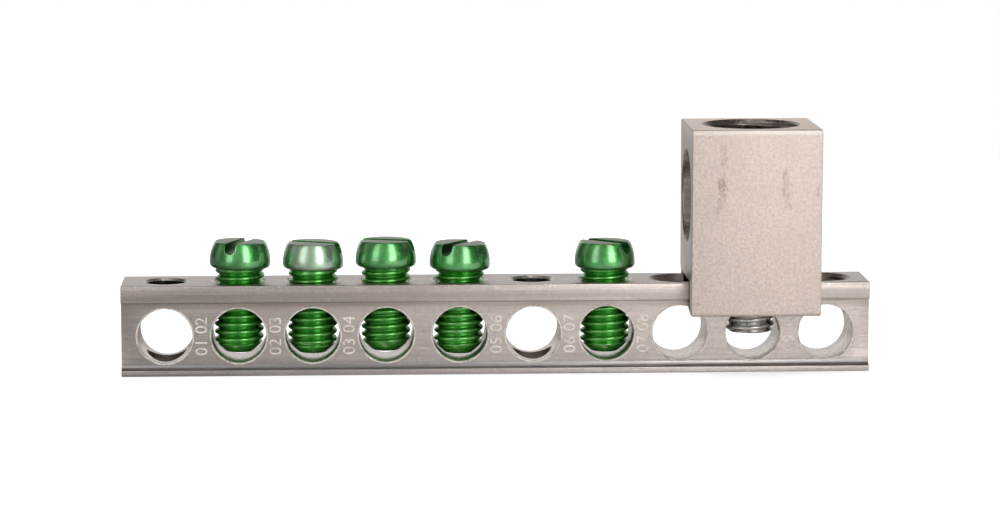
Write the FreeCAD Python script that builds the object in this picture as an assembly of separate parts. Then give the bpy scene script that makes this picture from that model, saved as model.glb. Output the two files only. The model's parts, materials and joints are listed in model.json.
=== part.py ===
"""Earth terminal bar with five terminal screws and a large conductor lug.

Millimetres. The origin is the centre of the bar's bottom face. X runs along the bar, Y from its
front to its back, and Z up. Positions are numbered from 1 at the bar's -X end.
"""
import FreeCAD, Part
import math
import os

# Bar: an aluminium extrusion, cross-drilled for the wires and drilled from above for the screws.
PITCH = 7.9375
POSITIONS = 10
END_MARGIN = 4.68
BAR_DEPTH = 7.94
WIRE_HOLE_D = 5.88
WIRE_HOLE_FLOOR = 1.34
WIRE_HOLE_ROOF = 2.58
TOP_BAND = 1.9
BOTTOM_LIP = 0.65
WEB_RECESS = 0.6

# Plain mounting holes, right through the bar.
MOUNTING_POSITIONS = (1, 6)
MOUNTING_HOLE_D = 4.37
MOUNTING_CHAMFER = 0.25

# Tapped holes, drilled to the thread's outside diameter and a running clearance.
TAPPED_POSITIONS = (2, 3, 4, 5, 7, 8, 9, 10)
THREAD_CLEARANCE = 0.06
TAPPED_CHAMFER = 0.38

# Terminal screws: position, turns backed out from fully home, and the slot's angle in degrees.
TERMINAL_SCREWS = ((2, 0.42, 69.0), (3, 0.23, -20.0), (4, 0.47, -15.0), (5, 0.06, 58.0), (7, 0.14, 138.0))
THREAD_PITCH = 0.834
SCREW_D = 5.2
SCREW_LENGTH = 9.1
SCREW_TIP_D = 3.0
SCREW_TIP_TAPER = 1.17
HEAD_D = 6.55
HEAD_TOP_D = 5.6
HEAD_HEIGHT = 2.93
HEAD_UNDERSIDE = 0.5
HEAD_MIDDLE_D = 6.4
SLOT_WIDTH = 1.25
SLOT_DEPTH = 1.15

# Lug: an aluminium block whose front lip hooks over the bar's top band.
LUG_POSITION = 9
LUG_WIDTH = 14.0
LUG_DEPTH = 12.7
LUG_FLOOR = 4.05
LUG_BORE_D = 10.0
LUG_ROOF = 2.75
LUG_LIP_DROP = 3.4
LUG_LIP_CLEARANCE = 0.1
LUG_BACK_CHAMFER = 0.7
LUG_LIP_ROUNDING = 0.4

# Lug pressure screw: a hexagon socket set screw, run in below the lug's top.
PRESSURE_SCREW_MARGIN = 0.25
PRESSURE_SCREW_LENGTH = 6.35
PRESSURE_SCREW_BACKED_OUT = 3.0
PRESSURE_TIP_CHAMFER = 1.5
PRESSURE_TOP_CHAMFER = 0.5
PRESSURE_HOLE_CHAMFER = 0.55
SOCKET_ACROSS_FLATS = 4.76
SOCKET_DEPTH = 3.3

# Lug fixing screw: a slotted flat head screw, sunk in the lug's floor.
FIXING_SCREW_LENGTH = 9.525
FIXING_TIP_D = 4.6
FIXING_TIP_TAPER = 0.25
FIXING_HEAD_D = 8.0
FIXING_HEAD_ANGLE = 82.0
FIXING_HEAD_SUNK = 0.35
FIXING_SLOT_WIDTH = 1.2
FIXING_SLOT_DEPTH = 0.8
FIXING_SHANK_CLEARANCE = 0.18
FIXING_HEAD_CLEARANCE = 0.05

# What a screw that is run right in leaves between its point and the round hole that it crosses.
SEATED_CLEARANCE = 0.02

# Sizes and heights that follow from the ones above.
BAR_LENGTH = (POSITIONS - 1) * PITCH + 2 * END_MARGIN
WIRE_HOLE_Z = WIRE_HOLE_FLOOR + WIRE_HOLE_D / 2
BAR_HEIGHT = WIRE_HOLE_FLOOR + WIRE_HOLE_D + WIRE_HOLE_ROOF
TAPPED_HOLE_D = SCREW_D + 2 * THREAD_CLEARANCE
LUG_BORE_Z = BAR_HEIGHT + LUG_FLOOR + LUG_BORE_D / 2
LUG_TOP = BAR_HEIGHT + LUG_FLOOR + LUG_BORE_D + LUG_ROOF
PRESSURE_SCREW_D = LUG_BORE_D - 2 * PRESSURE_SCREW_MARGIN
PRESSURE_HOLE_D = PRESSURE_SCREW_D + 2 * THREAD_CLEARANCE
FIXING_HEAD_Z = BAR_HEIGHT + LUG_FLOOR - FIXING_HEAD_SUNK

OVERCUT = 1.0
UP = FreeCAD.Vector(0, 0, 1)


def position_x(position):
    """X of a numbered position, with the row centred on the bar."""
    return (position - (POSITIONS + 1) / 2) * PITCH


def seated_tip(hole_d, hole_z, point_d, shank_d, taper):
    """Lowest height of a tapered tip that comes down into a round cross hole."""

    def hole_bottom(diameter):
        half_width = diameter / 2 + SEATED_CLEARANCE
        return hole_z - math.sqrt((hole_d / 2) ** 2 - half_width ** 2)

    return max(hole_bottom(point_d), hole_bottom(shank_d) - taper)


def face_from(edges):
    """A flat face inside a closed run of edges."""
    return Part.Face(Part.Wire(Part.sortEdges(edges)[0]))


def line(start, end):
    """A straight edge between two points."""
    return Part.LineSegment(start, end).toShape()


def arc(start, middle, end):
    """A circular edge through three points."""
    return Part.Arc(start, middle, end).toShape()


def vertical_cylinder(diameter, x, bottom, top):
    """A round bar standing on the row's centre line."""
    return Part.makeCylinder(diameter / 2, top - bottom, FreeCAD.Vector(x, 0, bottom), UP)


def mouth_cutter(diameter, chamfer, x, mouth):
    """A cone that chamfers a vertical hole where it opens upward at height mouth."""
    radius = diameter / 2
    base = FreeCAD.Vector(x, 0, mouth - chamfer)
    return Part.makeCone(radius, radius + chamfer + OVERCUT, chamfer + OVERCUT, base, UP)


def bar_half_section(side, x):
    """Edges of the extrusion's section on one side, from the middle of its bottom to its top."""
    outer = side * BAR_DEPTH / 2
    web = side * (BAR_DEPTH / 2 - WEB_RECESS)
    cove_top = BOTTOM_LIP + WEB_RECESS
    cove_middle_y = outer - side * WEB_RECESS * math.cos(math.pi / 4)
    cove_middle_z = cove_top - WEB_RECESS * math.sin(math.pi / 4)
    band_bottom = BAR_HEIGHT - TOP_BAND
    bottom = FreeCAD.Vector(x, 0, 0)
    bottom_corner = FreeCAD.Vector(x, outer, 0)
    lip_edge = FreeCAD.Vector(x, outer, BOTTOM_LIP)
    cove_middle = FreeCAD.Vector(x, cove_middle_y, cove_middle_z)
    cove_end = FreeCAD.Vector(x, web, cove_top)
    web_top = FreeCAD.Vector(x, web, band_bottom)
    band_edge = FreeCAD.Vector(x, outer, band_bottom)
    top_corner = FreeCAD.Vector(x, outer, BAR_HEIGHT)
    top = FreeCAD.Vector(x, 0, BAR_HEIGHT)
    return [
        line(bottom, bottom_corner),
        line(bottom_corner, lip_edge),
        arc(lip_edge, cove_middle, cove_end),
        line(cove_end, web_top),
        line(web_top, band_edge),
        line(band_edge, top_corner),
        line(top_corner, top),
    ]


def wire_hole(position):
    """The round cutter for one wire hole, front to back."""
    drill = Part.makeCylinder(WIRE_HOLE_D / 2, BAR_DEPTH + 2 * OVERCUT)
    drill.rotate(FreeCAD.Vector(0, 0, 0), FreeCAD.Vector(1, 0, 0), -90)
    drill.translate(FreeCAD.Vector(position_x(position), -BAR_DEPTH / 2 - OVERCUT, WIRE_HOLE_Z))
    return drill


def mounting_hole(position):
    """The cutter for one plain mounting hole, with its chamfered mouth."""
    x = position_x(position)
    drill = vertical_cylinder(MOUNTING_HOLE_D, x, -OVERCUT, BAR_HEIGHT + OVERCUT)
    return drill.fuse(mouth_cutter(MOUNTING_HOLE_D, MOUNTING_CHAMFER, x, BAR_HEIGHT))


def tapped_hole(position):
    """The cutter for one tapped hole: from the bar's top down into the wire hole."""
    x = position_x(position)
    drill = vertical_cylinder(TAPPED_HOLE_D, x, WIRE_HOLE_Z, BAR_HEIGHT + OVERCUT)
    return drill.fuse(mouth_cutter(TAPPED_HOLE_D, TAPPED_CHAMFER, x, BAR_HEIGHT))


def terminal_bar():
    """The extruded and drilled bar."""
    end = -BAR_LENGTH / 2
    section = face_from(bar_half_section(-1, end) + bar_half_section(1, end))
    bar = section.extrude(FreeCAD.Vector(BAR_LENGTH, 0, 0))
    cutters = [wire_hole(position) for position in range(1, POSITIONS + 1)]
    cutters += [mounting_hole(position) for position in MOUNTING_POSITIONS]
    cutters += [tapped_hole(position) for position in TAPPED_POSITIONS]
    return bar.cut(cutters)


def screw_blank(tip):
    """A terminal screw before slotting: tapered tip, shank and barrel head, turned about Z."""
    head_base = tip + SCREW_LENGTH
    head_top = head_base + HEAD_HEIGHT
    widest_z = head_base + HEAD_UNDERSIDE
    shank = SCREW_D / 2
    head = HEAD_D / 2
    bend = math.cos(math.pi / 4)
    tip_centre = FreeCAD.Vector(0, 0, tip)
    tip_rim = FreeCAD.Vector(SCREW_TIP_D / 2, 0, tip)
    shank_bottom = FreeCAD.Vector(shank, 0, tip + SCREW_TIP_TAPER)
    neck = FreeCAD.Vector(shank, 0, head_base)
    underside = FreeCAD.Vector(shank + (head - shank) * bend, 0, widest_z - HEAD_UNDERSIDE * bend)
    widest = FreeCAD.Vector(head, 0, widest_z)
    side_middle = FreeCAD.Vector(HEAD_MIDDLE_D / 2, 0, (widest_z + head_top) / 2)
    rim = FreeCAD.Vector(HEAD_TOP_D / 2, 0, head_top)
    top_centre = FreeCAD.Vector(0, 0, head_top)
    edges = [
        line(tip_centre, tip_rim),
        line(tip_rim, shank_bottom),
        line(shank_bottom, neck),
        line(neck, underside),
        line(underside, widest),
        line(widest, side_middle),
        line(side_middle, rim),
        line(rim, top_centre),
        line(top_centre, tip_centre),
    ]
    return face_from(edges).revolve(FreeCAD.Vector(0, 0, 0), UP, 360)


def round_bottomed_slot(width, depth, length, top):
    """A slot cutter along X, open upward at height top, with a half-round bottom."""
    axis_z = top - depth + width / 2
    corner = FreeCAD.Vector(-length / 2, -width / 2, axis_z)
    body = Part.makeBox(length, width, depth, corner)
    start = FreeCAD.Vector(-length / 2, 0, axis_z)
    return body.fuse(Part.makeCylinder(width / 2, length, start, FreeCAD.Vector(1, 0, 0)))


def terminal_screw(position, turns_out, slot_angle):
    """One terminal screw in its place on the bar."""
    seated = seated_tip(WIRE_HOLE_D, WIRE_HOLE_Z, SCREW_TIP_D, SCREW_D, SCREW_TIP_TAPER)
    tip = seated + turns_out * THREAD_PITCH
    head_top = tip + SCREW_LENGTH + HEAD_HEIGHT
    slot = round_bottomed_slot(SLOT_WIDTH, SLOT_DEPTH, HEAD_D + 2 * OVERCUT, head_top)
    screw = screw_blank(tip).cut(slot)
    screw.rotate(FreeCAD.Vector(0, 0, 0), UP, slot_angle)
    screw.translate(FreeCAD.Vector(position_x(position), 0, 0))
    return screw


def lug_section(x):
    """The lug's L-shaped section, with the front lip below the level of the bar's top."""
    front = -LUG_DEPTH / 2
    back = LUG_DEPTH / 2
    lip_back = -BAR_DEPTH / 2 - LUG_LIP_CLEARANCE
    lip_bottom = BAR_HEIGHT - LUG_LIP_DROP
    rounding = LUG_LIP_ROUNDING
    bend = rounding * (1 - math.cos(math.pi / 4))
    heel = FreeCAD.Vector(x, lip_back, lip_bottom)
    toe = FreeCAD.Vector(x, front + rounding, lip_bottom)
    toe_middle = FreeCAD.Vector(x, front + bend, lip_bottom + bend)
    toe_end = FreeCAD.Vector(x, front, lip_bottom + rounding)
    corners = [toe_end]
    corners.append(FreeCAD.Vector(x, front, LUG_TOP))
    corners.append(FreeCAD.Vector(x, back, LUG_TOP))
    corners.append(FreeCAD.Vector(x, back, BAR_HEIGHT + LUG_BACK_CHAMFER))
    corners.append(FreeCAD.Vector(x, back - LUG_BACK_CHAMFER, BAR_HEIGHT))
    corners.append(FreeCAD.Vector(x, lip_back, BAR_HEIGHT))
    corners.append(heel)
    corners.append(toe)
    edges = [line(start, finish) for start, finish in zip(corners, corners[1:])]
    edges.append(arc(toe, toe_middle, toe_end))
    return face_from(edges)


def fixing_head_cone(radius):
    """Height of the fixing screw's head, from the given radius down to its shank."""
    return (radius - SCREW_D / 2) / math.tan(math.radians(FIXING_HEAD_ANGLE / 2))


def fixing_head_blank(x):
    """The fixing screw's cone under its flat head, with the head's top at its seated height."""
    radius = FIXING_HEAD_D / 2
    height = fixing_head_cone(radius)
    base = FreeCAD.Vector(x, 0, FIXING_HEAD_Z - height)
    return Part.makeCone(SCREW_D / 2, radius, height, base, UP)


def lug_body():
    """The lug: extruded section with wire bore, tapped top hole and countersunk floor."""
    x = position_x(LUG_POSITION)
    left = x - LUG_WIDTH / 2
    block = lug_section(left).extrude(FreeCAD.Vector(LUG_WIDTH, 0, 0))
    bore_start = FreeCAD.Vector(left - OVERCUT, 0, LUG_BORE_Z)
    bore = Part.makeCylinder(LUG_BORE_D / 2, LUG_WIDTH + 2 * OVERCUT, bore_start, FreeCAD.Vector(1, 0, 0))
    top_hole = vertical_cylinder(PRESSURE_HOLE_D, x, LUG_BORE_Z, LUG_TOP + OVERCUT)
    top_mouth = mouth_cutter(PRESSURE_HOLE_D, PRESSURE_HOLE_CHAMFER, x, LUG_TOP)
    floor_hole_d = SCREW_D + 2 * FIXING_SHANK_CLEARANCE
    floor_hole = vertical_cylinder(floor_hole_d, x, BAR_HEIGHT - OVERCUT, LUG_BORE_Z)
    head_well_d = FIXING_HEAD_D + 2 * FIXING_HEAD_CLEARANCE
    head_well = vertical_cylinder(head_well_d, x, FIXING_HEAD_Z, LUG_BORE_Z)
    return block.cut([bore, top_hole, top_mouth, floor_hole, fixing_head_blank(x), head_well])


def lug_pressure_screw():
    """The lug's set screw, chamfered at both ends, with a hexagon socket in its top."""
    x = position_x(LUG_POSITION)
    radius = PRESSURE_SCREW_D / 2
    point = radius - PRESSURE_TIP_CHAMFER
    seated = seated_tip(LUG_BORE_D, LUG_BORE_Z, 2 * point, PRESSURE_SCREW_D, PRESSURE_TIP_CHAMFER)
    bottom = seated + PRESSURE_SCREW_BACKED_OUT
    top = bottom + PRESSURE_SCREW_LENGTH
    top_rim = radius - PRESSURE_TOP_CHAMFER
    outline = [(0, bottom), (point, bottom), (radius, bottom + PRESSURE_TIP_CHAMFER)]
    outline += [(radius, top - PRESSURE_TOP_CHAMFER), (top_rim, top), (0, top), (0, bottom)]
    points = [FreeCAD.Vector(r, 0, z) for r, z in outline]
    screw = Part.Face(Part.makePolygon(points)).revolve(FreeCAD.Vector(0, 0, 0), UP, 360)
    corner_radius = SOCKET_ACROSS_FLATS / 2 / math.cos(math.pi / 6)
    corners = []
    for step in range(7):
        angle = step * math.pi / 3
        corner_x = corner_radius * math.cos(angle)
        corners.append(FreeCAD.Vector(corner_x, corner_radius * math.sin(angle), top - SOCKET_DEPTH))
    socket = Part.Face(Part.makePolygon(corners)).extrude(UP * (SOCKET_DEPTH + OVERCUT))
    screw = screw.cut(socket)
    screw.translate(FreeCAD.Vector(x, 0, 0))
    return screw


def lug_fixing_screw():
    """The flat head screw through the lug's floor into the bar's tapped hole."""
    x = position_x(LUG_POSITION)
    tip = FIXING_HEAD_Z - FIXING_SCREW_LENGTH
    shank_top = FIXING_HEAD_Z - fixing_head_cone(FIXING_HEAD_D / 2)
    shank = vertical_cylinder(SCREW_D, x, tip + FIXING_TIP_TAPER, shank_top)
    point = Part.makeCone(FIXING_TIP_D / 2, SCREW_D / 2, FIXING_TIP_TAPER, FreeCAD.Vector(x, 0, tip), UP)
    length = FIXING_HEAD_D + 2 * OVERCUT
    corner = FreeCAD.Vector(x - length / 2, -FIXING_SLOT_WIDTH / 2, FIXING_HEAD_Z - FIXING_SLOT_DEPTH)
    slot = Part.makeBox(length, FIXING_SLOT_WIDTH, FIXING_SLOT_DEPTH + OVERCUT, corner)
    return shank.fuse([point, fixing_head_blank(x)]).removeSplitter().cut(slot)


def save(node, shape):
    """Write one sub-part to its own STEP file."""
    if not shape.isValid() or len(shape.Solids) != 1:
        raise ValueError(node + " is not one valid solid")
    shape.Solids[0].exportStep("parts/" + node + ".step")


os.makedirs("parts", exist_ok=True)
save("terminal_bar", terminal_bar())
for number, (position, turns_out, slot_angle) in enumerate(TERMINAL_SCREWS, start=1):
    save("terminal_screw_" + str(number), terminal_screw(position, turns_out, slot_angle))
save("lug_body", lug_body())
save("lug_pressure_screw", lug_pressure_screw())
save("lug_fixing_screw", lug_fixing_screw())
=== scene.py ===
"""Earth terminal bar: visible surfaces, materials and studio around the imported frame.

All lengths are metres. The origin is the centre of the bar's bottom face; X runs along the bar
towards the lug, Y from its front to its back, and Z up.
"""
import contextlib
import json
import math

import bmesh
import bpy
from mathutils import Matrix, Vector
from mathutils import noise as lattice_noise

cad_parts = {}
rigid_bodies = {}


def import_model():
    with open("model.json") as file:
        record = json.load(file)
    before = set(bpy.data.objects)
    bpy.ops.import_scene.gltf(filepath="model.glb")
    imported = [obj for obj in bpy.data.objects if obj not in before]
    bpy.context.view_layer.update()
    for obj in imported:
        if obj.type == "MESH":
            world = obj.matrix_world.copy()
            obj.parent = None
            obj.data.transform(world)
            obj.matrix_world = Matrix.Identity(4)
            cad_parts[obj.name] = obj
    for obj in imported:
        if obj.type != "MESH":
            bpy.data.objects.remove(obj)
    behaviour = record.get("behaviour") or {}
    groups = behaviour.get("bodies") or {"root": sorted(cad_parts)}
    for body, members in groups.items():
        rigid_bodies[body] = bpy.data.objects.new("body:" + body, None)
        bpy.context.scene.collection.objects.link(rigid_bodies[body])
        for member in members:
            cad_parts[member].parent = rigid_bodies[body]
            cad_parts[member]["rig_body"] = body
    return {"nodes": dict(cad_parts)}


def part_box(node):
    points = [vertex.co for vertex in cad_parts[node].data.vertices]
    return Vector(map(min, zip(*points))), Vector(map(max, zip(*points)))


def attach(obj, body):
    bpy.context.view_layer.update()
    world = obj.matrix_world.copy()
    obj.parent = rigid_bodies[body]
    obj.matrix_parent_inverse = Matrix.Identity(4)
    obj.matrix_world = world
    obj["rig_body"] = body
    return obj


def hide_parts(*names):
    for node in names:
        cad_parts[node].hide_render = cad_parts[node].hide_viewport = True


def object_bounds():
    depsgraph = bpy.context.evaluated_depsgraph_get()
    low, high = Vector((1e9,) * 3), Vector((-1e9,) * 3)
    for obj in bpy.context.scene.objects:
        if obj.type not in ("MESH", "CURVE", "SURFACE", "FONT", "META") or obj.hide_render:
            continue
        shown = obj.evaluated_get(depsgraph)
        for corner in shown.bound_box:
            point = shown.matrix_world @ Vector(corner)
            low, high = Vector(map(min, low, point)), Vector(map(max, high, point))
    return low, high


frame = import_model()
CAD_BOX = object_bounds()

bl_info = {
    "name": "Earth Terminal Bar",
    "version": (1, 0, 0),
    "blender": (4, 5, 0),
    "location": "3D View > Sidebar > Earth Bar",
    "description": "Dresses the packed earth terminal bar and sets its studio",
    "category": "Object",
}

MM = 0.001
# How far a cutter stands out past the metal that it cuts.
PAST = 1 * MM
TERMINAL_SCREWS = ("terminal_screw_1", "terminal_screw_2", "terminal_screw_3",
                   "terminal_screw_4", "terminal_screw_5")


def srgb(code):
    """Linear colour from an sRGB hex value such as #8A817C."""
    channels = [int(code[i:i + 2], 16) / 255 for i in (1, 3, 5)]
    return tuple(c / 12.92 if c <= 0.04045 else ((c + 0.055) / 1.055) ** 2.4 for c in channels)


def node_middle(node):
    """Centre of a CAD node's box."""
    low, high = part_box(node)
    return (low + high) / 2


# ---------------------------------------------------------------- settings

def length_setting(name, description, millimetres):
    """A length property, given in millimetres and stored in metres."""
    return bpy.props.FloatProperty(name=name, description=description, default=millimetres * MM,
                                   min=0.0, unit="LENGTH", subtype="DISTANCE", precision=5)


def angle_setting(name, description, degrees):
    """An angle property, given in degrees and stored in radians."""
    return bpy.props.FloatProperty(name=name, description=description,
                                   default=math.radians(degrees), subtype="ANGLE")


def colour_setting(name, description, code):
    """A colour property, given as an sRGB hex value."""
    return bpy.props.FloatVectorProperty(name=name, description=description, default=srgb(code),
                                         size=3, min=0.0, max=1.0, subtype="COLOR")


class BarSettings(bpy.types.PropertyGroup):
    """Sizes of the extruded and drilled bar."""
    pitch: length_setting("Pitch", "Distance from one terminal to the next", 7.9375)
    positions: bpy.props.IntProperty(name="Positions", description="Number of terminals", default=10)
    wire_hole: length_setting("Wire hole", "Diameter of each cross hole", 5.88)
    wire_hole_height: length_setting("Wire hole height", "Height of its axis", 4.28)
    mounting_hole: length_setting("Mounting hole", "Diameter of each plain vertical hole", 4.37)
    mounting_mouth: length_setting("Mounting mouth", "Chamfer at its top", 0.25)
    tapped_hole: length_setting("Tapped hole", "Outside diameter of the tapped thread", 5.46)
    tapped_core: length_setting("Tapped core", "Diameter at the crests of the tapped thread", 4.66)
    tapped_mouth: length_setting("Tapped mouth", "Countersink at its top", 0.38)
    top_band: length_setting("Top band", "Height of the band along the top", 1.9)
    bottom_lip: length_setting("Bottom lip", "Height of the lip along the bottom", 0.65)
    web_recess: length_setting("Web recess", "How far the web lies behind the band", 0.6)
    corner: length_setting("Corner", "Radius left on the long corners by the die", 0.13)
    sawn_edge: length_setting("Sawn edge", "Break round the sawn ends", 0.07)
    rim: length_setting("Rim", "Break on the rim of each drilled hole", 0.14)
    burr: length_setting("Burr", "Thickness of the burr round it", 0.18)
    thread_pitch: length_setting("Thread pitch", "Pitch of the tapped holes", 0.834)
    digit: length_setting("Digit", "Height of the stamped position numbers", 1.35)
    stamp: length_setting("Stamp", "Depth of those numbers", 0.04)


class ScrewSettings(bpy.types.PropertyGroup):
    """Sizes of the terminal screws."""
    thread: length_setting("Thread", "Outside diameter over the crests", 5.3)
    thread_pitch: length_setting("Thread pitch", "Advance in one turn", 0.834)
    thread_depth: length_setting("Thread depth", "Depth from crest to root", 0.4)
    tip: length_setting("Tip", "Diameter of the flat point", 2.96)
    taper: length_setting("Taper", "Height of the tapered point", 1.38)
    fullness: bpy.props.FloatProperty(name="Fullness", description="1 is a straight cone, and more is "
                                      "a rounder point", default=1.5, min=1.0)
    head: length_setting("Head", "Diameter of the head at its widest", 6.55)
    head_height: length_setting("Head height", "Head from its underside to its top", 2.93)
    barrel: length_setting("Barrel", "Radius of the curve up the side of the head", 4.8)
    upper_corner: length_setting("Upper corner", "Radius round the top of the head", 0.265)
    lower_corner: length_setting("Lower corner", "Radius round the foot of the head", 0.475)
    slot_width: length_setting("Slot width", "Width of the screwdriver slot", 1.25)
    slot_depth: length_setting("Slot depth", "Depth of the screwdriver slot", 1.15)
    edge: length_setting("Edge", "Rounding of the slot's edges", 0.06)


class LugSettings(bpy.types.PropertyGroup):
    """Sizes of the lug and of its two screws."""
    bore: length_setting("Bore", "Diameter of the conductor bore", 10.0)
    bore_height: length_setting("Bore height", "Height of its axis", 18.85)
    bore_edge: length_setting("Bore edge", "Break on its two rims", 0.15)
    top_hole: length_setting("Top hole", "Diameter that the pressure screw runs in", 9.62)
    top_thread: length_setting("Top thread", "Depth of the thread cut in it", 0.32)
    top_mouth: length_setting("Top mouth", "Chamfer of the top hole", 0.55)
    back_chamfer: length_setting("Back chamfer", "Chamfer along the bottom of the back", 0.7)
    corner: length_setting("Corner", "Radius left on the corners", 0.2)
    sawn_edge: length_setting("Sawn edge", "Break round the sawn sides", 0.16)
    toe: length_setting("Toe", "Radius under the front lip", 0.4)
    lip_gap: length_setting("Lip gap", "Gap between the lip and the bar's front", 0.1)
    pressure_pitch: length_setting("Pressure pitch", "Pitch of the pressure screw", 1.058)
    pressure_thread: length_setting("Pressure thread", "Depth of its thread", 0.5)
    pressure_tip: length_setting("Pressure tip", "Chamfer round its point", 1.5)
    socket: length_setting("Socket", "Pressure screw socket across flats", 4.76)
    socket_depth: length_setting("Socket depth", "Depth of that socket", 3.3)
    floor_hole: length_setting("Floor hole", "Hole for the fixing screw", 5.56)
    head_well: length_setting("Head well", "Well over the fixing screw's head", 8.1)
    countersink: angle_setting("Countersink", "Half angle of the fixing screw's head", 41.0)
    fixing_slot: length_setting("Fixing slot", "Width of the fixing screw's slot", 1.2)
    fixing_slot_depth: length_setting("Fixing slot depth", "Depth of that slot", 0.8)
    fixing_tip: length_setting("Fixing tip", "Diameter of the fixing screw's point", 4.6)
    fixing_taper: length_setting("Fixing taper", "Height of its chamfer", 0.25)


class FinishSettings(bpy.types.PropertyGroup):
    """Colours of the surfaces."""
    bar: colour_setting("Bar", "Drawn aluminium of the bar", "#C9BEB8")
    oxide: colour_setting("Oxide", "Brown film along the bar's band", "#B5A89E")
    sawn: colour_setting("Sawn", "Sawn ends of the bar and of the lug", "#F4EAE4")
    drilled: colour_setting("Drilled", "Walls of the bar's drilled holes", "#E4DAD2")
    burr: colour_setting("Burr", "Bare burr on the rims of those holes", "#FFF6EC")
    bored: colour_setting("Bored", "Walls of the lug's bore and holes", "#A3978F")
    # The dark Tapped colour is painted shade in the bar's holes.
    tapped: colour_setting("Tapped", "Oily threads of the tapped holes", "#4C4641")
    lug: colour_setting("Lug", "Etched aluminium of the lug", "#DCCDC4")
    lug_stain: colour_setting("Lug stain", "Brown marks left on the lug by handling", "#8F7562")
    green: colour_setting("Green", "Green dye over the zinc of the terminal screws", "#43AD48")
    worn: colour_setting("Worn", "Zinc where the green dye has worn thin", "#B9CDB6")
    zinc: colour_setting("Zinc", "Clear zinc plate of the fixing screw", "#D2D1CE")
    machined: colour_setting("Machined", "Turned aluminium of the pressure screw", "#BDB7B2")
    floor: colour_setting("Floor", "Studio floor", "#F2F2F2")


# ---------------------------------------------------------------- mesh building

def linked(name, data):
    """A new object with this data, in the scene."""
    obj = bpy.data.objects.new(name, data)
    bpy.context.scene.collection.objects.link(obj)
    return obj


def mesh_object(name, points, faces):
    """A smooth mesh object from points and faces."""
    mesh = bpy.data.meshes.new(name)
    mesh.from_pydata([tuple(p) for p in points], [], faces)
    mesh.update()
    mesh.polygons.foreach_set("use_smooth", [True] * len(mesh.polygons))
    return linked(name, mesh)


@contextlib.contextmanager
def editing(mesh):
    """A mesh as a bmesh, written back at the end."""
    shape = bmesh.new()
    shape.from_mesh(mesh)
    yield shape
    shape.to_mesh(mesh)
    shape.free()


def skin(first, second, count):
    """Faces between two rings of count points, from the index of each ring's first point."""
    return [(first + i, first + (i + 1) % count, second + (i + 1) % count, second + i)
            for i in range(count)]


def discard(obj):
    """Remove an object and its mesh."""
    mesh = obj.data
    bpy.data.objects.remove(obj)
    bpy.data.meshes.remove(mesh)


def apply_modifiers(obj):
    """Replace the mesh by what its modifiers make of it."""
    graph = bpy.context.evaluated_depsgraph_get()
    made = bpy.data.meshes.new_from_object(obj.evaluated_get(graph))
    old = obj.data
    obj.modifiers.clear()
    obj.data = made
    bpy.data.meshes.remove(old)


def combine(obj, other, operation):
    """Boolean of two closed meshes; the second one is used up."""
    step = obj.modifiers.new(operation, "BOOLEAN")
    step.operation = operation
    step.solver = "EXACT"
    step.material_mode = "TRANSFER" if other.data.materials else "INDEX"
    step.object = other
    apply_modifiers(obj)
    discard(other)


def volume(obj):
    """Volume that a closed mesh holds."""
    shape = bmesh.new()
    shape.from_mesh(obj.data)
    held = shape.calc_volume()
    shape.free()
    return held


def cut(obj, cutter, *materials):
    """Take the cutter out of obj; the faces it leaves take the cutter's materials."""
    for material in materials:
        cutter.data.materials.append(material)
    before, most = volume(obj), volume(cutter)
    label = cutter.name
    combine(obj, cutter, "DIFFERENCE")
    if not 0 < before - volume(obj) <= most:
        raise RuntimeError("the cut " + label + " failed in " + obj.name)


def surface(obj, material, wanted):
    """Give the faces that pass the wanted test a material of their own."""
    obj.data.materials.append(material)
    index = len(obj.data.materials) - 1
    for face in obj.data.polygons:
        if wanted(face):
            face.material_index = index


def soften(obj, angle):
    """Smooth shading that keeps edges sharper than the angle."""
    mesh = obj.data
    mesh.polygons.foreach_set("use_smooth", [True] * len(mesh.polygons))
    mesh.set_sharp_from_angle(angle=math.radians(angle))


def break_edges(obj, width, wanted, segments=2, angle=32.0):
    """Round the edges sharper than the angle whose two ends both pass the wanted test."""
    with editing(obj.data) as shape:
        bmesh.ops.remove_doubles(shape, verts=shape.verts, dist=0.002 * MM)
        bmesh.ops.dissolve_limit(shape, angle_limit=math.radians(0.5), verts=shape.verts,
                                 edges=shape.edges)
        edges = []
        for edge in shape.edges:
            if len(edge.link_faces) == 2 and edge.calc_face_angle(0.0) > math.radians(angle):
                if wanted(edge.verts[0].co) and wanted(edge.verts[1].co):
                    edges.append(edge)
        bmesh.ops.bevel(shape, geom=edges, offset=width, offset_type="OFFSET", segments=segments,
                        profile=0.5, affect="EDGES", clamp_overlap=True)


def arc(centre, radius, start, end, steps):
    """Points along an arc from the angle start to the angle end."""
    angles = [start + (end - start) * step / steps for step in range(steps + 1)]
    return [(centre[0] + radius * math.cos(a), centre[1] + radius * math.sin(a)) for a in angles]


def rounded_outline(corners, steps=4):
    """Points round a closed outline whose corners are (u, v, radius)."""
    points = []
    for index, (u, v, radius) in enumerate(corners):
        here = Vector((u, v))
        if radius == 0:
            points.append(here)
            continue
        before = (Vector(corners[index - 1][:2]) - here).normalized()
        after = (Vector(corners[(index + 1) % len(corners)][:2]) - here).normalized()
        half = before.angle(after) / 2
        centre = here + (before + after).normalized() * radius / math.sin(half)
        start = here + before * (radius / math.tan(half)) - centre
        end = here + after * (radius / math.tan(half)) - centre
        for step in range(steps + 1):
            share = step / steps
            points.append(centre + (start * (1 - share) + end * share).normalized() * radius)
    return points


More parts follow.
